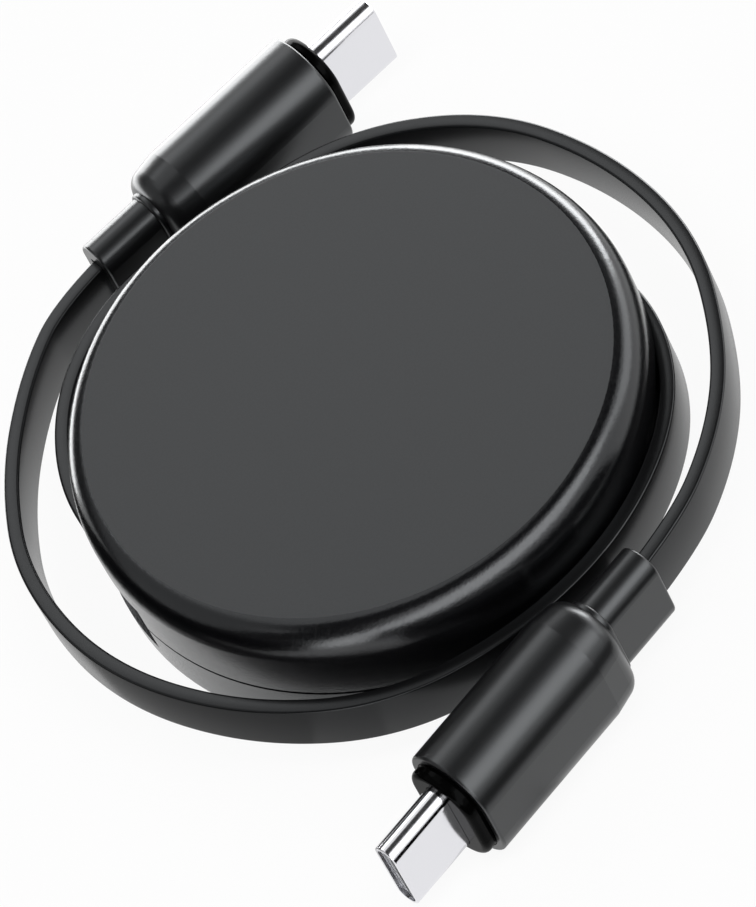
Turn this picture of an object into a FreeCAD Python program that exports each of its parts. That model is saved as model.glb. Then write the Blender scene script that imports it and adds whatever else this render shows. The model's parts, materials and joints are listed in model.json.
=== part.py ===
import FreeCAD, Part
import math
import os

# Retractable flat charging cable: a round case holds a sprung reel, and both ends
# of one flat cable leave it through opposite slots and end in a plug.
# Millimetres, +Z up, origin at the middle of the case's underside.

# Case
case_radius = 25.4
case_wall = 1.4
roof_room = 1.3
rim_inset = 2.1
rim_drop = 3.5
base_round = 1.5
seam_bevel = 0.15
lip_height = 1.2
lip_wall = 0.6
press_gap = 0.05

# Cable
cable_width = 5.2
cable_thickness = 1.35
cable_room = 0.3
slot_start = -24.0
slot_end = 19.0
lip_slot_extra = 8.0

# Reel
post_radius = 3.0
journal_radius = 4.2
thrust_ring_wall = 2.0
thrust_height = 0.5
boss_wall = 1.8
running_fit = 0.06
end_float = 0.2
flange_gap = 1.4
flange_thickness = 1.2
hub_radius = 10.2
hub_wall = 1.0
wound_margin = 2.1
cover_thickness = 1.0
cover_spigot = 0.8

# Power spring
spring_thickness = 0.25
spring_turns = 6
spring_inner_radius = 4.5
spring_outer_gap = 0.5
spring_tab_gap = 0.15

# Ratchet and pawl
ratchet_radius = 11.5
ratchet_wall = 2.6
ratchet_height = 1.2
notch_count = 12
notch_radius = 1.7
notch_offset = 0.3
pawl_pivot_radius = 17.5
pawl_pivot_angle = 45.0
pawl_arm = 8.5
pawl_thickness = 1.6
pawl_tooth_radius = 0.6
pawl_lift = 0.35
pawl_pin_radius = 1.2
pawl_eye_wall = 0.9
pawl_rise = 0.4

# Plug, along its axis from the cable's end to the tip
neck_length = 6.7
neck_width = 8.8
neck_thickness = 3.9
shoulder_length = 3.4
shoulder_taper = 0.5
shoulder_round = 1.7
root_step = 0.3
root_length = 0.45
sleeve_length = 15.1
sleeve_width = 12.4
sleeve_thickness = 8.4
sleeve_wall = 0.75
sleeve_edge = 0.25
cable_sunk = 5.5
cable_bore_gap = 0.1
nose_length = 1.25
nose_round = 0.6
nose_groove = 0.3
nose_groove_depth = 0.45
shell_exposed = 6.65
shell_sunk = 5.0
shell_width = 8.25
shell_thickness = 2.4
shell_wall = 0.3
shell_edge = 0.12
insulator_recess = 0.45
insulator_tail = 1.2
tongue_slot_width = 6.9
tongue_slot_thickness = 1.0
tongue_slot_depth = 5.6
contacts_per_row = 12
contact_pitch = 0.5
contact_width = 0.25
contact_thickness = 0.15
contact_setback = 1.2
contact_tail = 1.0
latch_setback = 1.0
latch_thickness = 0.15
latch_width = 0.5
board_thickness = 0.8
board_width = 7.6
board_length = 7.0
board_side_gap = 0.3
core_pocket_thickness = 2.8
wire_share = 0.52
wire_count = 4

# Routes of the cable's two ends in plan, as multiples of the case's radius, from beside the
# winding to inside the plug. The last two points are the plug's line before it moves outward.
route_a = [(-0.5984, -0.6181), (-0.7441, -0.4528), (-0.9528, -0.0630), (-1.0236, 0.3071),
           (-0.8965, 0.7004), (-0.5882, 0.9787), (-0.1705, 1.0772), (0.3098, 1.1559), (0.7878, 0.9728),
           (1.0949, 0.5823), (1.2402, 0.1220), (1.1732, -0.3386), (1.0236, -0.6575), (0.6748, -0.7625),
           (0.3486, -0.9456)]
route_b = [(0.5315, 0.6811), (0.7047, 0.5039), (0.8819, 0.2598), (1.0197, -0.1024), (0.9449, -0.4961),
           (0.6339, -0.8465), (0.2079, -1.0394), (-0.2913, -1.0827), (-0.7598, -0.8583),
           (-1.1220, -0.4685), (-1.2638, 0.0118), (-1.1874, 0.4323), (-1.0012, 0.7965), (-0.7014, 0.8650),
           (-0.3557, 1.0075)]
plug_gap = 0.2
arc_share = 0.45

# Levels inside the case: the stack from the floor up, with the plugs able to lie beside it
floor_top = case_wall
stack_middle = floor_top + thrust_height + end_float + flange_thickness + cable_room + cable_width / 2
seam_height = max(stack_middle, sleeve_width / 2)
cable_bottom = seam_height - cable_width / 2
cable_top = seam_height + cable_width / 2
flange_top = cable_bottom - cable_room
flange_bottom = flange_top - flange_thickness
cover_bottom = cable_top + cable_room
cover_top = cover_bottom + cover_thickness
pawl_bottom = cover_top + pawl_rise
roof = pawl_bottom + pawl_thickness + roof_room
case_height = roof + case_wall
spring_bottom = flange_top + cable_room
spring_top = cover_bottom - cover_spigot - cable_room
inner_radius = case_radius - case_wall
hub_bore = hub_radius - hub_wall
flange_radius = inner_radius - flange_gap
wound_radius = flange_radius - wound_margin
wire_radius = cable_thickness * wire_share / 2
wire_pitch = cable_width / (wire_count + 0.5)

# Stations along a plug from the end of its neck
sleeve_back = neck_length + shoulder_length
sleeve_front = sleeve_back + sleeve_length
nose_front = sleeve_front + nose_length
plug_tip = nose_front + shell_exposed
core_back = sleeve_back - shoulder_length / 3
core_width = sleeve_width - 2 * (sleeve_wall + press_gap)
core_thickness = sleeve_thickness - 2 * (sleeve_wall + press_gap)
shell_back = nose_front - shell_sunk
insulator_back = shell_back - insulator_tail
board_back = insulator_back - board_length

up = FreeCAD.Vector(0, 0, 1)
along = FreeCAD.Vector(1, 0, 0)
vector = FreeCAD.Vector


def disc(radius, bottom, top):
    return Part.makeCylinder(radius, top - bottom, vector(0, 0, bottom))


def ring(outer, inner, bottom, top):
    return disc(outer, bottom, top).cut(disc(inner, bottom, top))


def polar(radius, degrees, height=0.0):
    angle = math.radians(degrees)
    return vector(radius * math.cos(angle), radius * math.sin(angle), height)


def turned(edges):
    # Solid of revolution about Z of a closed profile in the XZ plane.
    return Part.Face(Part.Wire(edges)).revolve(vector(0, 0, 0), up, 360)


def quarter_curve(start, corner, end):
    # Quarter of an ellipse between two tangents that meet at the corner.
    ease = 0.5523
    curve = Part.BezierCurve()
    curve.setPoles([start, start + (corner - start) * ease, end + (corner - end) * ease, end])
    return curve.toShape()


def lines(points):
    return [Part.makeLine(first, second) for first, second in zip(points, points[1:])]


def sector(inner, outer, first, last, bottom, top):
    # Block between two radii and two angles.
    middle = (first + last) / 2
    arc_out = Part.Arc(polar(outer, first), polar(outer, middle), polar(outer, last)).toShape()
    arc_in = Part.Arc(polar(inner, last), polar(inner, middle), polar(inner, first)).toShape()
    side_out = Part.makeLine(polar(outer, last), polar(inner, last))
    side_in = Part.makeLine(polar(inner, first), polar(outer, first))
    face = Part.Face(Part.Wire([arc_out, side_out, arc_in, side_in]))
    block = face.extrude(up * (top - bottom))
    block.translate(up * bottom)
    return block


def cable_slots():
    # Two openings half a turn apart, split by the seam and wide enough for the cable's slant.
    # The lip behind the wall is cut back further, where the cable comes off the winding.
    reach = inner_radius - lip_wall - 4 * press_gap
    bottom = cable_bottom - cable_room
    top = cable_top + cable_room
    cuts = []
    for turn in (0, 180):
        first, last = slot_start + turn, slot_end + turn
        cuts.append(sector(reach, case_radius + case_wall, first, last, bottom, top))
        cuts.append(sector(reach, inner_radius, first, last + lip_slot_extra, bottom, top))
    return cuts[0].fuse(cuts[1:])


def upper_shell():
    crown = vector(case_radius - rim_inset, 0, case_height)
    side = vector(case_radius, 0, case_height - rim_drop)
    outside = lines([vector(0, 0, seam_height), vector(0, 0, case_height), crown])
    outside.append(quarter_curve(crown, vector(case_radius, 0, case_height), side))
    bevel_top = vector(case_radius, 0, seam_height + seam_bevel)
    bevel_in = vector(case_radius - seam_bevel, 0, seam_height)
    outside += lines([side, bevel_top, bevel_in, vector(0, 0, seam_height)])
    roof_edge = vector(case_radius - rim_inset - case_wall / 2, 0, roof)
    wall_edge = vector(inner_radius, 0, case_height - rim_drop)
    inside = lines([vector(0, 0, seam_height), vector(0, 0, roof), roof_edge])
    inside.append(quarter_curve(roof_edge, vector(inner_radius, 0, roof), wall_edge))
    inside += lines([wall_edge, vector(inner_radius, 0, seam_height), vector(0, 0, seam_height)])
    shell = turned(outside).cut(turned(inside))
    lip_outer = inner_radius - press_gap
    lip = ring(lip_outer, lip_outer - lip_wall, seam_height - lip_height, seam_height + lip_height)
    root = ring(inner_radius, lip_outer - lip_wall, seam_height, seam_height + lip_height)
    boss = ring(post_radius + press_gap + boss_wall, post_radius + press_gap, cover_top + end_float, roof)
    pin = Part.makeCylinder(pawl_pin_radius, roof - pawl_bottom, pawl_pivot(pawl_bottom))
    return shell.fuse([lip, root, boss, pin]).cut(cable_slots()).removeSplitter()


def lower_shell():
    start = vector(case_radius - base_round, 0, 0)
    end = vector(case_radius, 0, base_round)
    outside = lines([vector(0, 0, 0), start])
    outside.append(quarter_curve(start, vector(case_radius, 0, 0), end))
    bevel_low = vector(case_radius, 0, seam_height - seam_bevel)
    bevel_in = vector(case_radius - seam_bevel, 0, seam_height)
    outside += lines([end, bevel_low, bevel_in, vector(0, 0, seam_height), vector(0, 0, 0)])
    shell = turned(outside).cut(disc(inner_radius, floor_top, case_height))
    thrust_ring = disc(journal_radius + thrust_ring_wall, floor_top, flange_bottom - end_float)
    journal = disc(journal_radius, floor_top, flange_top)
    post = disc(post_radius, floor_top, roof)
    slit_width = spring_thickness + 2 * spring_tab_gap
    slit = Part.makeBox(post_radius, slit_width, spring_top - flange_top + cable_room,
                        vector(0, -slit_width / 2, flange_top))
    return shell.fuse([thrust_ring, journal, post]).cut(slit).cut(cable_slots()).removeSplitter()


def spool():
    # Lower flange and hub in one moulding, turning on the post's journal.
    bore = journal_radius + running_fit
    flange = ring(flange_radius, bore, flange_bottom, flange_top)
    hub = ring(hub_radius, hub_bore, flange_top, cover_bottom)
    catch_width = spring_thickness + 2 * spring_tab_gap
    catch = Part.makeBox(hub_wall / 2 + spring_outer_gap, catch_width, spring_top - flange_top + cable_room,
                         vector(hub_bore - spring_outer_gap, -catch_width / 2, flange_top))
    return flange.fuse(hub).cut(catch).removeSplitter()


def pawl_engaged_angle():
    # Where the tooth's middle stands, seen from the post, when it lies in a notch.
    reach = ratchet_radius + notch_offset / 3
    return pawl_pivot_angle + pawl_offset(reach)


def pawl_offset(tooth_reach):
    # Angle at the post between the pawl's pin and its tooth, by the cosine rule.
    top = pawl_pivot_radius ** 2 + tooth_reach ** 2 - pawl_arm ** 2
    return math.degrees(math.acos(top / (2 * pawl_pivot_radius * tooth_reach)))


def spool_cover():
    # Upper flange with the ratchet on its top and a spigot that locates it in the hub.
    bore = post_radius + running_fit
    plate = ring(flange_radius, bore, cover_bottom, cover_top)
    spigot_radius = hub_bore - press_gap
    spigot = ring(spigot_radius, spigot_radius - hub_wall, cover_bottom - cover_spigot, cover_bottom)
    ratchet = ring(ratchet_radius, ratchet_radius - ratchet_wall, cover_top, cover_top + ratchet_height)
    notches = []
    for index in range(notch_count):
        angle = pawl_engaged_angle() + index * 360 / notch_count
        centre = polar(ratchet_radius + notch_offset, angle, cover_top)
        notches.append(Part.makeCylinder(notch_radius, ratchet_height, centre))
    ratchet = ratchet.cut(Part.makeCompound(notches))
    return plate.fuse([spigot, ratchet]).removeSplitter()


def power_spring():
    # Flat strip in half-turn arcs about two centres, hooked in the post and in the hub.
    spring_outer_radius = hub_bore - spring_outer_gap
    step = (spring_outer_radius - spring_inner_radius) / (2 * spring_turns)
    height = spring_top - spring_bottom
    half = spring_thickness / 2
    strip = []
    for index in range(2 * spring_turns):
        radius = spring_inner_radius + index * step
        centre = vector(0 if index % 2 == 0 else step, 0, spring_bottom)
        turn = Part.makeCylinder(radius + half, height, centre, up, 180)
        turn = turn.cut(Part.makeCylinder(radius - half, height, centre, up, 180))
        if index % 2 == 1:
            turn.rotate(centre, up, 180)
        strip.append(turn)
    inner_tab = Part.makeBox(spring_inner_radius + half - spring_tab_gap, spring_thickness, height,
                             vector(spring_tab_gap, -half, spring_bottom))
    outer_tab = Part.makeBox(spring_outer_gap + hub_wall / 2 - spring_tab_gap, spring_thickness, height,
                             vector(spring_outer_radius - half, -half, spring_bottom))
    return strip[0].fuse(strip[1:] + [inner_tab, outer_tab]).removeSplitter()


def pawl_pivot(height):
    return polar(pawl_pivot_radius, pawl_pivot_angle, height)


def pawl():
    # Lever between its eye and a round tooth, with sides tangent to both.
    tooth_reach = ratchet_radius + pawl_tooth_radius + pawl_lift
    pivot = pawl_pivot(pawl_bottom)
    tooth = polar(tooth_reach, pawl_pivot_angle + pawl_offset(tooth_reach), pawl_bottom)
    eye_radius = pawl_pin_radius + running_fit + pawl_eye_wall
    axis = tooth - pivot
    heading = math.degrees(math.atan2(axis.y, axis.x))
    lean = math.degrees(math.acos((eye_radius - pawl_tooth_radius) / axis.Length))
    left, right = heading + lean, heading - lean
    eye_back = Part.Arc(pivot + polar(eye_radius, left), pivot + polar(eye_radius, heading + 180),
                        pivot + polar(eye_radius, right)).toShape()
    tooth_end = Part.Arc(tooth + polar(pawl_tooth_radius, right), tooth + polar(pawl_tooth_radius, heading),
                         tooth + polar(pawl_tooth_radius, left)).toShape()
    side_right = Part.makeLine(pivot + polar(eye_radius, right), tooth + polar(pawl_tooth_radius, right))
    side_left = Part.makeLine(tooth + polar(pawl_tooth_radius, left), pivot + polar(eye_radius, left))
    lever = Part.Face(Part.Wire([eye_back, side_right, tooth_end, side_left])).extrude(up * pawl_thickness)
    return lever.cut(Part.makeCylinder(pawl_pin_radius + running_fit, pawl_thickness, pivot))


def route(shape):
    # Real points of a route; its last run moves outward so the plug clears the other end's cable.
    points = [vector(x * case_radius, y * case_radius, 0) for x, y in shape]
    outward = (points[-1] - points[-2]).cross(up).normalize()
    if outward.dot(points[-1]) < 0:
        outward = outward * -1
    stand = sleeve_thickness / 2 + cable_thickness / 2 + plug_gap
    return points[:-2] + [point + outward * stand for point in points[-2:]]


def route_side(points, offset, height):
    # Edges of the route moved sideways by the offset: straight runs and the tangent arcs between them.
    corners = [point + up * height for point in points]
    headings = [(after - before).normalize() for before, after in zip(corners, corners[1:])]
    runs = [(after - before).Length for before, after in zip(corners, corners[1:])]
    edges = []
    start = corners[0] + up.cross(headings[0]) * offset
    for index in range(1, len(corners) - 1):
        before, after = headings[index - 1], headings[index]
        turn = before.getAngle(after)
        tangent = arc_share * min(runs[index - 1], runs[index])
        radius = tangent / math.tan(turn / 2)
        inward = (after - before).normalize()
        centre = corners[index] + inward * (radius / math.cos(turn / 2))
        first = corners[index] - before * tangent + up.cross(before) * offset
        last = corners[index] + after * tangent + up.cross(after) * offset
        side = math.copysign(1, up.cross(before).dot(inward))
        middle = centre - inward * (radius - side * offset)
        edges.append(Part.makeLine(start, first))
        edges.append(Part.Arc(first, middle, last).toShape())
        start = last
    edges.append(Part.makeLine(start, corners[-1] + up.cross(headings[-1]) * offset))
    return edges


def cable(name, points):
    # Flat cable standing on its edge; the arcs of its middle line are printed.
    half = cable_thickness / 2
    left = route_side(points, half, cable_bottom)
    right = route_side(points, -half, cable_bottom)
    start = Part.makeLine(right[0].firstVertex().Point, left[0].firstVertex().Point)
    end = Part.makeLine(left[-1].lastVertex().Point, right[-1].lastVertex().Point)
    outline = Part.Wire(left + [end] + right[::-1] + [start])
    body = Part.Face(outline).extrude(up * cable_width)
    middle = route_side(points, 0, cable_bottom)
    length = sum(edge.Length for edge in middle)
    radii = [edge.Curve.Radius for edge in middle if isinstance(edge.Curve, Part.Circle)]
    section = cable_width * cable_thickness
    print(f"{name}: length {length:.1f} mm, arc radii", " ".join(f"{radius:.1f}" for radius in radii))
    print(f"{name}: volume over section times length {body.Volume / (section * length):.4f}")
    return body


def stadium(width, thickness, station):
    # Flat-sided oval with full-round ends across the plug's axis, width upright.
    half = thickness / 2
    straight = max(width - thickness, thickness / 100) / 2
    top, bottom = vector(station, 0, straight), vector(station, 0, -straight)
    side = vector(0, half, 0)
    tip = vector(0, 0, half)
    return Part.Wire([
        Part.Arc(top - side, top + tip, top + side).toShape(),
        Part.makeLine(top + side, bottom + side),
        Part.Arc(bottom + side, bottom - tip, bottom - side).toShape(),
        Part.makeLine(bottom - side, top - side)])


def oval_bar(width, thickness, back, front):
    return Part.Face(stadium(width, thickness, back)).extrude(along * (front - back))


def bar(width, thickness, back, front):
    return Part.makeBox(front - back, thickness, width, vector(back, -thickness / 2, -width / 2))


def end_edges(shape, station):
    return [edge for edge in shape.Edges
            if abs(edge.BoundBox.XMin - station) < 1e-6 and abs(edge.BoundBox.XMax - station) < 1e-6]


def plug_sleeve():
    # Moulded grip: straight oval sleeve, rounded shoulder and the strain-relief neck with a bead at its root.
    sleeve = oval_bar(sleeve_width, sleeve_thickness, sleeve_back, sleeve_front)
    sleeve = sleeve.makeFillet(sleeve_edge, end_edges(sleeve, sleeve_front))
    shoulder = Part.makeLoft([
        stadium(sleeve_width - 2 * shoulder_taper, sleeve_thickness - 2 * shoulder_taper, neck_length),
        stadium(sleeve_width, sleeve_thickness, sleeve_back)], True, True)
    shoulder = shoulder.makeFillet(shoulder_round, end_edges(shoulder, neck_length))
    neck = oval_bar(neck_width, neck_thickness, 0, neck_length)
    neck = neck.makeFillet(sleeve_edge, end_edges(neck, 0))
    root_back = neck_length - root_length
    root = oval_bar(neck_width + 2 * root_step, neck_thickness + 2 * root_step,
                    root_back, neck_length + shoulder_round / 2)
    root = root.makeFillet(sleeve_edge, end_edges(root, root_back))
    cavity = oval_bar(core_width + 2 * press_gap, core_thickness + 2 * press_gap, core_back, sleeve_front)
    bore = bar(cable_width + 2 * cable_bore_gap, cable_thickness + 2 * cable_bore_gap, 0, core_back)
    return sleeve.fuse([shoulder, root, neck]).cut(cavity).cut(bore)


def plug_core():
    # Inner moulding that fills the sleeve, holds the connector and shows as the nose,
    # with a shadow groove between the nose and the sleeve.
    core = oval_bar(core_width, core_thickness, core_back, nose_front)
    core = core.makeFillet(nose_round, end_edges(core, nose_front))
    pocket = bar(board_width + 2 * board_side_gap, core_pocket_thickness, core_back, shell_back)
    seat = oval_bar(shell_width + 2 * press_gap, shell_thickness + 2 * press_gap, shell_back, nose_front)
    groove_front = sleeve_front + nose_groove
    groove = oval_bar(core_width, core_thickness, sleeve_front, groove_front).cut(
        oval_bar(core_width - 2 * nose_groove_depth, core_thickness - 2 * nose_groove_depth,
                 sleeve_front, groove_front))
    return core.cut(groove).cut(pocket).cut(seat)


def plug_shell():
    outside = oval_bar(shell_width, shell_thickness, shell_back, plug_tip)
    outside = outside.makeFillet(shell_edge, end_edges(outside, plug_tip))
    inside = oval_bar(shell_width - 2 * shell_wall, shell_thickness - 2 * shell_wall, shell_back, plug_tip)
    return outside.cut(inside)


def plug_contacts():
    # Two facing rows of straight contacts whose tails lie on both faces of the board.
    back = insulator_back - contact_tail
    front = plug_tip - insulator_recess - contact_setback
    rows = []
    for index in range(contacts_per_row):
        level = (index - (contacts_per_row - 1) / 2) * contact_pitch - contact_width / 2
        for side in (board_thickness / 2, -board_thickness / 2 - contact_thickness):
            corner = vector(back, side, level)
            rows.append(Part.makeBox(front - back, contact_thickness, contact_width, corner))
    return Part.makeCompound(rows)


def plug_insulator():
    gap = 2 * (shell_wall + press_gap)
    front = plug_tip - insulator_recess
    body = oval_bar(shell_width - gap, shell_thickness - gap, insulator_back, front)
    slot = bar(tongue_slot_width, tongue_slot_thickness, front - tongue_slot_depth, front)
    return body.cut(slot).cut(plug_contacts())


def plug_latch():
    # Sprung fork: an arm along each end of the tongue slot, joined at the slot's bottom.
    front = plug_tip - insulator_recess
    back = front - tongue_slot_depth
    bridge = bar(tongue_slot_width, latch_width, back, back + latch_thickness)
    fork = bar(tongue_slot_width, latch_width, back, front - latch_setback)
    between = bar(tongue_slot_width - 2 * latch_thickness, latch_width, back, front)
    return fork.cut(between).fuse(bridge).removeSplitter()


def plug_board():
    return bar(board_width, board_thickness, board_back, insulator_back)


def plug_wires():
    # Cores of the cable, side by side, from its cut end to the board.
    wires = []
    for index in range(wire_count):
        level = (index - (wire_count - 1) / 2) * wire_pitch
        start = vector(cable_sunk, 0, level)
        wires.append(Part.makeCylinder(wire_radius, board_back - cable_sunk, start, along))
    return Part.makeCompound(wires)


def plug_place(points):
    # The plug lies along the last run of its cable, with the cable's end inside its neck.
    heading = (points[-1] - points[-2]).normalize()
    neck_end = points[-1] - heading * cable_sunk + up * seam_height
    return FreeCAD.Placement(neck_end, FreeCAD.Rotation(up, math.degrees(math.atan2(heading.y, heading.x))))


def wound_cable():
    return ring(wound_radius, hub_radius + press_gap, cable_bottom, cable_top)


def export(name, shape):
    shape.exportStep(f"parts/{name}.step")


def main():
    os.makedirs("parts", exist_ok=True)
    for maker in (lower_shell, upper_shell, spool, spool_cover, power_spring, wound_cable, pawl):
        export(maker.__name__, maker())
    plug_makers = (plug_sleeve, plug_core, plug_shell, plug_insulator, plug_contacts,
                   plug_latch, plug_board, plug_wires)
    for letter, points in (("a", route(route_a)), ("b", route(route_b))):
        export(f"cable_{letter}", cable(f"cable_{letter}", points))
        for maker in plug_makers:
            piece = maker()
            piece.Placement = plug_place(points).multiply(piece.Placement)
            export(maker.__name__.replace("plug", f"plug_{letter}"), piece)


main()
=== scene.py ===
import json
import math

import bpy
import numpy as np
from mathutils import Matrix, Vector


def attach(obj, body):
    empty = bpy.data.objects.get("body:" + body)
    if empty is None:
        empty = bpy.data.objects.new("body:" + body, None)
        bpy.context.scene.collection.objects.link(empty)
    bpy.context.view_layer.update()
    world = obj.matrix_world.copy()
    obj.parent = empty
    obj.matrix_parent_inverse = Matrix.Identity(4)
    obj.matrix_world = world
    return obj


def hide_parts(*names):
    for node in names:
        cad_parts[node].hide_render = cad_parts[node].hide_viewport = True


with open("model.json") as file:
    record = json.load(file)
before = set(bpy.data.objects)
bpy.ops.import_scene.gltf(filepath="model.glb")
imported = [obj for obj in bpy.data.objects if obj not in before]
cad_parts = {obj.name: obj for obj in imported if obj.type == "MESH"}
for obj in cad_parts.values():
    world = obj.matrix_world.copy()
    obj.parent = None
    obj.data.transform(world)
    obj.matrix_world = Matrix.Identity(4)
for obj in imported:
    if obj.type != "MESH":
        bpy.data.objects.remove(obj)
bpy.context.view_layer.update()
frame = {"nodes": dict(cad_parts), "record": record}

mm = 0.001  # the frame is in metres
white = (1, 1, 1, 1)
nodes = frame["nodes"]
scene = bpy.context.scene
print("frame loaded:", len(nodes), "nodes")


def hexLinear(code):  # sRGB hex to linear RGBA
    channels = [int(code[i:i + 2], 16) / 255 for i in (1, 3, 5)]
    linear = [c / 12.92 if c <= 0.04045 else ((c + 0.055) / 1.055) ** 2.4 for c in channels]
    return (*linear, 1.0)


def perMm(size):  # texture scale for a feature of this size in millimetres
    return 1.0 / (size * mm)


def addNode(tree, kind, links=None, **settings):  # one node with its settings and its input links or values
    made = tree.nodes.new(kind)
    for name, value in settings.items():
        setattr(made, name, value)
    for socket, value in (links or {}).items():
        if isinstance(value, bpy.types.NodeSocket):
            tree.links.new(value, made.inputs[socket])
        else:
            made.inputs[socket].default_value = value
    return made


def startMaterial(name):
    material = bpy.data.materials.new(name)
    material.use_nodes = True
    material.node_tree.nodes.clear()
    return material, material.node_tree


def finishMaterial(tree, shader):
    addNode(tree, "ShaderNodeOutputMaterial", {"Surface": shader.outputs[0]})


def gridQuads(rows, columns, closed):
    # the four corners of each cell of a grid; a closed grid's last column joins its first
    cells = columns if closed else columns - 1
    row, column = np.meshgrid(np.arange(rows - 1), np.arange(cells), indexing="ij")
    after = (column + 1) % columns
    return np.stack((row * columns + column, row * columns + after,
                     (row + 1) * columns + after, (row + 1) * columns + column), axis=-1).reshape(-1, 4)


# Camera: fitted to the case's rim and seam in the photograph's frame; degrees, millimetres and pixels,
# with the clip distances in metres
cameraFit = {"elevation": 52.246, "azimuth": 4.0, "roll": -28.542, "distance": 676.876, "focalPx": 8000.0,
             "aimX": 375.204, "aimY": 436.141, "seamHeight": 6.2, "frameWidth": 756.0, "frameHeight": 907.0,
             "sensor": 36.0, "clip": (0.05, 20.0)}


def placeCamera(fit):
    el, az, roll = (math.radians(fit[key]) for key in ("elevation", "azimuth", "roll"))
    towards = Vector((math.sin(az) * math.cos(el), -math.cos(az) * math.cos(el), math.sin(el)))
    right = Vector((math.cos(az), math.sin(az), 0.0))
    above = towards.cross(right)
    imageX = right * math.cos(roll) + above * math.sin(roll)
    imageY = above * math.cos(roll) - right * math.sin(roll)
    perPx = fit["distance"] / fit["focalPx"]
    place = towards * fit["distance"]
    place -= imageX * (fit["aimX"] - fit["frameWidth"] / 2) * perPx
    place += imageY * (fit["aimY"] - fit["frameHeight"] / 2) * perPx
    place.z += fit["seamHeight"]
    data = bpy.data.cameras.new("photoCamera")
    data.sensor_fit = "VERTICAL"
    data.sensor_height = fit["sensor"]
    data.lens = fit["focalPx"] * fit["sensor"] / fit["frameHeight"]
    data.clip_start, data.clip_end = fit["clip"]
    camera = bpy.data.objects.new("photoCamera", data)
    turn = Matrix((imageX, imageY, towards)).transposed()
    camera.matrix_world = Matrix.Translation(place * mm) @ turn.to_4x4()
    scene.collection.objects.link(camera)
    scene.camera = camera


placeCamera(cameraFit)
print("camera placed")


# Studio: white world and floor for what is seen or mirrored, dimmer light for what is lit; metres
studio = {"fill": 0.3, "floorSize": 4.0, "floorLevel": -0.0001, "floorWhite": 0.92, "floorGlow": 0.93}


def seenRays(tree):
    # 1 for a ray that shows the background, straight or mirrored, and 0 for one that lights the object
    path = addNode(tree, "ShaderNodeLightPath")
    seen = path.outputs["Is Camera Ray"]
    for kind in ("Is Glossy Ray", "Is Transmission Ray"):
        either = addNode(tree, "ShaderNodeMath", {0: seen, 1: path.outputs[kind]}, operation="MAXIMUM")
        seen = either.outputs[0]
    return seen


def buildWorld():
    world = bpy.data.worlds.new("whiteStudio")
    world.use_nodes = True
    tree = world.node_tree
    tree.nodes.clear()
    strength = addNode(tree, "ShaderNodeMapRange", {"Value": seenRays(tree), "To Min": studio["fill"],
                                                    "To Max": 1.0})
    sky = addNode(tree, "ShaderNodeBackground", {"Color": white, "Strength": strength.outputs[0]})
    addNode(tree, "ShaderNodeOutputWorld", {"Surface": sky.outputs[0]})
    scene.world = world


def buildFloor():  # mostly glow where it is seen, so that it is white and still keeps some shadow
    material, tree = startMaterial("paleStudioFloor")
    share = addNode(tree, "ShaderNodeMath", {0: seenRays(tree), 1: studio["floorGlow"]}, operation="MULTIPLY")
    matte = addNode(tree, "ShaderNodeBsdfDiffuse", {"Color": (*[studio["floorWhite"]] * 3, 1)})
    glow = addNode(tree, "ShaderNodeEmission", {"Color": white, "Strength": 1.0})
    mixed = addNode(tree, "ShaderNodeMixShader", {0: share.outputs[0], 1: matte.outputs[0],
                                                  2: glow.outputs[0]})
    finishMaterial(tree, mixed)
    half, level = studio["floorSize"] / 2, studio["floorLevel"]
    corners = [(x * half, y * half, level) for x, y in ((-1, -1), (1, -1), (1, 1), (-1, 1))]
    mesh = bpy.data.meshes.new("studioFloor")
    mesh.from_pydata(corners, [], [(0, 1, 2, 3)])
    mesh.materials.append(material)
    floor = bpy.data.objects.new("studioFloor", mesh)
    scene.collection.objects.link(floor)


# Lamps: azimuth and elevation seen from the object in degrees, distance, width and height in metres,
# and radiance, where 1 is white paper
lamps = {
    "farSoftbox": {"azimuth": 94.0, "elevation": 46.0, "distance": 0.9, "width": 1.0, "height": 0.34,
                   "radiance": 1.3, "mirrored": True},
    "topSoftbox": {"azimuth": -86.0, "elevation": 74.0, "distance": 0.8, "width": 1.0, "height": 0.3,
                   "radiance": 4.0, "mirrored": False},
}


def addLamp(name, lamp):
    az, el = math.radians(lamp["azimuth"]), math.radians(lamp["elevation"])
    place = Vector((math.cos(az) * math.cos(el), math.sin(az) * math.cos(el), math.sin(el)))
    place *= lamp["distance"]
    data = bpy.data.lights.new(name, "AREA")
    data.shape = "RECTANGLE"
    data.size, data.size_y = lamp["width"], lamp["height"]
    data.energy = lamp["radiance"] * math.pi * lamp["width"] * lamp["height"]
    light = bpy.data.objects.new(name, data)
    light.location = place
    light.rotation_euler = place.to_track_quat("Z", "Y").to_euler()
    light.visible_glossy = lamp["mirrored"]
    scene.collection.objects.link(light)


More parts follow.
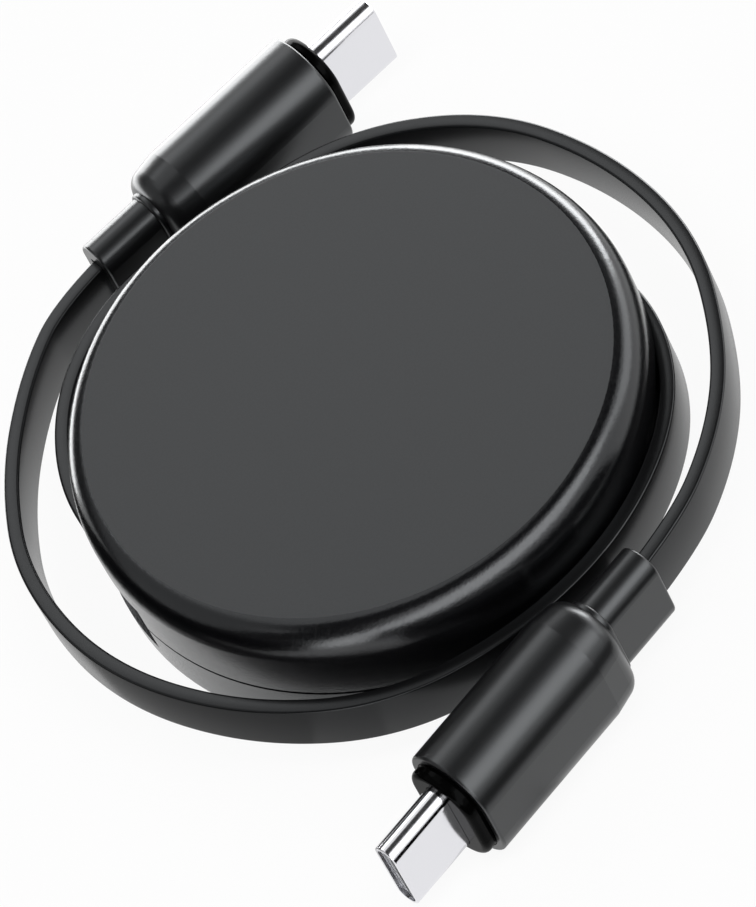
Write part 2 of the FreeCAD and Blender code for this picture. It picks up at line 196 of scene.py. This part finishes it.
# Light strips and dark cards that stand round the table, seen only as reflections in the plastic and
# the metal: radiance, and rows of azimuth with the lowest and highest elevation
surround = {
    "nearStrip": {"radiance": 4.0, "rows": [
        (234, -1, 2), (246, -1, 11), (258, 0, 24), (270, 4, 34), (285, 9, 41), (300, 14, 45),
        (318, 18, 49), (332, 21, 49), (346, 24, 46)]},
    "rightStrip": {"radiance": 2.7, "rows": [(346, 16, 40), (360, -1, 28), (380, -1, 26), (398, -1, 24)]},
    "backRightStrip": {"radiance": 11.8, "rows": [(398, -1, 19), (420, -1, 22), (440, -1, 19)]},
    "backStrip": {"radiance": 10.0, "rows": [(80, -1, 19), (95, -1, 14), (108, -1, 9), (118, -1, 3)]},
    "canopy": {"radiance": 0.05, "rows": [
        (200, 60, 89), (216, 30, 89), (240, 30, 89), (255, 40, 89), (270, 49, 89), (300, 58, 89),
        (345, 60, 89), (360, 46, 89), (380, 38, 89), (410, 33, 85), (424, 33, 77), (432, 33, 70),
        (440, 33, 54), (444, 33, 40)]},
    "leftCard": {"radiance": 0.05, "rows": [
        (98, 21, 29), (104, 16, 33), (112, 9, 37), (122, 4, 41), (132, -1, 36), (150, -1, 22),
        (164, -1, 1)]},
    "leftGrey": {"radiance": 0.5, "rows": [
        (104, 33, 37), (112, 37, 43), (122, 41, 50), (132, 36, 56), (150, 22, 60), (164, 1, 60),
        (186, -1, 60), (200, 6, 60), (208, 20, 55)]},
    "nearLeftCard": {"radiance": 0.05, "rows": [
        (186, -1, -1), (200, -1, 6), (208, -1, 20), (216, -1, 30), (234, 2, 30), (246, 11, 34)]},
}
# The same lying on the table: rows of azimuth with the nearest and farthest distance from the reel's axis
# in mm; the three at the cable's foot are painted shade of the floor beside the cable, seen only in
# reflections, and grow lighter towards the near plug
table = {
    "backTable": {"radiance": 5.5, "rows": [
        (40, 90, 600), (60, 70, 600), (90, 58, 600), (110, 54, 500), (130, 52, 180), (144, 47, 90),
        (151, 46, 60)]},
    "leftTable": {"radiance": 0.0, "rows": [(156, 42, 600), (200, 42, 600), (220, 42, 600), (230, 50, 600)]},
    "nearLeftTable": {"radiance": 3.7, "rows": [(231, 62, 600), (246, 62, 600)]},
    "nearTable": {"radiance": 0.0, "rows": [(247, 56, 600), (310, 46, 600), (330, 46, 600)]},
    # painted shade: the floor beside the cable's foot, dimmed where mirrors see it, lighter towards the near
    # plug
    "cableFoot": {"radiance": 0.42, "rows": [
        (180, 40, 41.5), (196, 32, 41.5), (222, 29.4, 41.5), (236, 28.7, 41.5)]},
    "cableFootMiddle": {"radiance": 0.58, "rows": [(236, 28.7, 41.5), (250, 28.6, 41.5)]},
    "cableFootEnd": {"radiance": 0.75, "rows": [(250, 28.6, 41.5), (275, 30, 41.5)]},
}
# Dome that carries the standing ones and level of the lying ones in metres, and the steps of their grids
dome = {"radius": 0.8, "centreHeight": 0.0125, "tableLevel": -0.00005, "stepDegrees": 3, "stepsAcross": 9}


def domePoints(azimuth, elevation):  # on a sphere round the case's top, cut off at the table
    az, el = np.radians(azimuth), np.radians(elevation)
    out = np.cos(el) * dome["radius"]
    height = np.maximum(0.0, np.sin(el) * dome["radius"] + dome["centreHeight"])
    return np.stack((np.cos(az) * out, np.sin(az) * out, height), axis=-1)


def tablePoints(azimuth, distance):  # on the table, round the reel's axis
    az, out = np.radians(azimuth), distance * mm
    return np.stack((np.cos(az) * out, np.sin(az) * out, np.full_like(out, dome["tableLevel"])), axis=-1)


def addSurround(name, card, pointsAt):
    # at each azimuth, equal steps from one edge to the other, both edges straight between their rows
    material, tree = startMaterial(name)
    glow = addNode(tree, "ShaderNodeEmission", {"Color": white, "Strength": card["radiance"]})
    finishMaterial(tree, glow)
    azimuths, lows, highs = np.array(card["rows"], float).T
    steps = int((azimuths[-1] - azimuths[0]) / dome["stepDegrees"]) + 2
    turn = np.linspace(azimuths[0], azimuths[-1], steps)
    low, high = np.interp(turn, azimuths, lows)[:, None], np.interp(turn, azimuths, highs)[:, None]
    across = low + (high - low) * np.linspace(0.0, 1.0, dome["stepsAcross"])
    grid = pointsAt(np.broadcast_to(turn[:, None], across.shape), across)
    mesh = bpy.data.meshes.new(name)
    mesh.from_pydata(grid.reshape(-1, 3), [], gridQuads(*across.shape, closed=False).tolist())
    mesh.materials.append(material)
    piece = bpy.data.objects.new(name, mesh)
    piece.visible_camera = piece.visible_diffuse = False
    piece.visible_shadow = piece.visible_transmission = False
    scene.collection.objects.link(piece)


buildWorld()
buildFloor()
for name, lamp in lamps.items():
    addLamp(name, lamp)
for name, card in surround.items():
    addSurround(name, card, domePoints)
for name, card in table.items():
    addSurround(name, card, tablePoints)
scene.view_settings.view_transform = "Standard"
print("studio built:", len(lamps), "lamps,", len(surround) + len(table), "strips and cards")


# Moulded ABS: dark with a cool sheen, satin and spark-textured on rim and walls, matte and smooth on the
# top face; the grain is drawn coarser than it is, so that it shows
satinCase = {"colour": "#08080a", "roughness": 0.21, "uneven": 0.05, "specular": 0.64, "tint": "#f8fcff",
             "grainMm": 0.2, "grainDepthMm": 0.014, "bump": 0.9,
             "face": {"roughness": 0.5, "fromMm": 14.795, "toMm": 14.7998}}
# Plain moulded plastic and rubber: the same cool sheen with hardly any grain
plain = {"uneven": 0.02, "specular": 0.58, "tint": "#f8fcff", "grainMm": 0.12, "grainDepthMm": 0.02,
         "bump": 0.05}
plastics = {
    # dull and waxy
    "reel": ("reelAcetal", {"colour": "#1b1b1c", "roughness": 0.5}),
    # undyed, milky and waxy
    "pawl": ("pawlAcetal", {"colour": "#c9c8c2", "roughness": 0.45}),
    # smooth rubber drawn through a die, with a low sheen
    "jacket": ("jacketTpe", {"colour": "#0e0e0f", "roughness": 0.25, "specular": 0.36}),
    # semi-gloss moulded rubber with soft streaks of light
    "grip": ("gripTpe", {"colour": "#121213", "roughness": 0.3, "specular": 0.6}),
    # near black with hardly any sheen over the whole nose: painted shade that stands in for a recess at its
    # front
    "core": ("noseAbs", {"colour": "#050505", "roughness": 0.13, "specular": 0.02}),
    # pale, filled with glass fibre
    "insulator": ("insulatorNylon", {"colour": "#b4b5b7", "roughness": 0.45}),
    # green solder mask
    "board": ("boardMask", {"colour": "#17402a", "roughness": 0.35}),
    # dyed insulation of the thin wires
    "wires": ("wireJackets", {"colour": "#7a2a24", "roughness": 0.45}),
}
# Bright nickel plate over drawn steel: a mirror sheen under a faint haze
nickel = {"colour": "#e4e4e8", "roughness": 0.13, "uneven": 0.03, "hazeMm": 0.8}
metals = {
    "plug_shell": ("brightNickel", {}),
    # rolled strip, greyer and duller
    "spring_steel": ("rolledSpringSteel", {"colour": "#a5a7ab", "roughness": 0.3}),
    # thin gold over nickel, warm and soft
    "contacts": ("goldFlash", {"colour": "#d9b36a", "roughness": 0.25}),
}


def unevenRoughness(tree, noise, look):  # most of the noise lies between 0.3 and 0.7
    return addNode(tree, "ShaderNodeMapRange", {
        "Value": noise.outputs["Fac"], "From Min": 0.3, "From Max": 0.7,
        "To Min": look["roughness"] - look["uneven"], "To Max": look["roughness"] + look["uneven"]})


def satinPlastic(name, look):
    material, tree = startMaterial(name)
    place = addNode(tree, "ShaderNodeTexCoord").outputs["Object"]
    grain = addNode(tree, "ShaderNodeTexNoise", {"Vector": place, "Scale": perMm(look["grainMm"]),
                                                 "Detail": 2.0, "Roughness": 0.6})
    rough = unevenRoughness(tree, grain, look)
    strength = look["bump"]
    if "face" in look:  # towards the flat face the grain fades out and the sheen turns matte
        face = look["face"]
        height = addNode(tree, "ShaderNodeSeparateXYZ", {0: place}).outputs["Z"]
        fade = {"Value": height, "From Min": face["fromMm"] * mm, "From Max": face["toMm"] * mm}
        smooth = addNode(tree, "ShaderNodeMapRange", {**fade, "To Min": look["bump"], "To Max": 0.0})
        strength = smooth.outputs[0]
        matte = addNode(tree, "ShaderNodeMapRange", {**fade, "To Max": face["roughness"] - look["roughness"]})
        rough = addNode(tree, "ShaderNodeMath", {0: rough.outputs[0], 1: matte.outputs[0]}, operation="ADD")
    bump = addNode(tree, "ShaderNodeBump", {"Height": grain.outputs["Fac"], "Strength": strength,
                                            "Distance": look["grainDepthMm"] * mm})
    shader = addNode(tree, "ShaderNodeBsdfPrincipled", {
        "Base Color": hexLinear(look["colour"]), "Roughness": rough.outputs[0], "Normal": bump.outputs[0],
        "Specular IOR Level": look["specular"], "Specular Tint": hexLinear(look["tint"])})
    finishMaterial(tree, shader)
    return material


def brightMetal(name, look):
    material, tree = startMaterial(name)
    place = addNode(tree, "ShaderNodeTexCoord").outputs["Object"]
    haze = addNode(tree, "ShaderNodeTexNoise", {"Vector": place, "Scale": perMm(look["hazeMm"]),
                                                "Detail": 3.0})
    rough = unevenRoughness(tree, haze, look)
    shader = addNode(tree, "ShaderNodeBsdfPrincipled", {
        "Base Color": hexLinear(look["colour"]), "Metallic": 1.0, "Roughness": rough.outputs[0]})
    finishMaterial(tree, shader)
    return material


finishes = {"case": satinPlastic("satinCaseAbs", satinCase)}
for slot, (name, look) in plastics.items():
    finishes[slot] = satinPlastic(name, {**plain, **look})
for slot, (name, look) in metals.items():
    finishes[slot] = brightMetal(name, {**nickel, **look})
slotOf = {part["node"]: part["material_slot"] for part in frame["record"]["subparts"]}
for name, piece in nodes.items():
    piece.data.materials.clear()
    piece.data.materials.append(finishes[slotOf[name]])
print("finishes on the nodes:", len(finishes))


# Flat cable on its narrow edge, in mm: a rounded oblong section carried along each end's route
cableLook = {"width": 5.2, "thickness": 1.35, "edge": 0.22, "edgeSteps": 4, "level": 6.2,
             "stepsPerPoint": 24, "sharpAngle": 50}
routes = {
    "a": [(-15.20, -15.70), (-18.90, -11.50), (-24.20, -1.60), (-26.00, 7.80), (-22.77, 17.79),
          (-14.94, 24.86), (-4.33, 27.36), (7.87, 29.36), (20.01, 24.71), (27.81, 14.79), (31.50, 3.10),
          (29.80, -8.60), (26.00, -16.70), (19.62, -23.79), (11.34, -28.44)],
    "b": [(13.50, 17.30), (17.90, 12.80), (22.40, 6.60), (25.90, -2.60), (24.00, -12.60), (16.10, -21.50),
          (5.28, -26.40), (-7.40, -27.50), (-19.30, -21.80), (-28.50, -11.90), (-32.10, 0.30),
          (-30.16, 10.98), (-25.43, 20.23), (-19.75, 26.66), (-10.97, 30.28)],
}


def splinePoints(name, route):  # points along a smooth spline with the route's points as its control points
    curve = bpy.data.curves.new(name, "CURVE")
    curve.dimensions = "3D"
    curve.resolution_u = cableLook["stepsPerPoint"]
    spline = curve.splines.new("NURBS")
    spline.points.add(len(route) - 1)
    for point, (x, y) in zip(spline.points, route):
        point.co = (x * mm, y * mm, cableLook["level"] * mm, 1.0)
    spline.order_u = 3
    spline.use_endpoint_u = True
    holder = bpy.data.objects.new(name, curve)
    mesh = bpy.data.meshes.new_from_object(holder)
    flat = np.empty(len(mesh.vertices) * 3)
    mesh.vertices.foreach_get("co", flat)
    bpy.data.objects.remove(holder)
    bpy.data.curves.remove(curve)
    bpy.data.meshes.remove(mesh)
    return flat.reshape(-1, 3)


def oblongSection(look):
    # closed section, across then up: quarter circles of radius edge round the four corners of the oblong
    edge = look["edge"]
    turn = np.linspace(0.0, 0.5 * np.pi, look["edgeSteps"] + 1)
    corners = [(1, 1, 0.0), (-1, 1, 0.5), (-1, -1, 1.0), (1, -1, 1.5)]
    rows = [np.column_stack((sx * (look["thickness"] / 2 - edge) + edge * np.cos(turn + start * np.pi),
                             sy * (look["width"] / 2 - edge) + edge * np.sin(turn + start * np.pi)))
            for sx, sy, start in corners]
    return np.vstack(rows) * mm


def sweptMesh(name, points, section):
    # each point of the path carries the section, turned about the vertical to stand across the path
    ahead = np.gradient(points, axis=0)
    ahead /= np.linalg.norm(ahead, axis=1)[:, None]
    across = np.column_stack((ahead[:, 1], -ahead[:, 0], np.zeros(len(points))))
    up = np.array([0.0, 0.0, 1.0])
    grid = points[:, None] + across[:, None] * section[None, :, :1] + up * section[None, :, 1:]
    rows, columns = grid.shape[:2]
    quads = gridQuads(rows, columns, closed=True)[:, ::-1]
    caps = [list(range(columns)), list(range((rows - 1) * columns, rows * columns))[::-1]]
    mesh = bpy.data.meshes.new(name)
    mesh.from_pydata(grid.reshape(-1, 3), [], quads.tolist() + caps)
    mesh.shade_smooth()
    mesh.set_sharp_from_angle(angle=math.radians(cableLook["sharpAngle"]))
    return mesh


section = oblongSection(cableLook)
for letter, route in routes.items():
    points = splinePoints(f"cableRoute_{letter}", route)
    mesh = sweptMesh(f"flatCable_{letter}", points, section)
    mesh.materials.append(finishes["jacket"])
    cable = bpy.data.objects.new(f"flatCable_{letter}", mesh)
    scene.collection.objects.link(cable)
    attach(cable, "case")
    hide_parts(f"cable_{letter}")
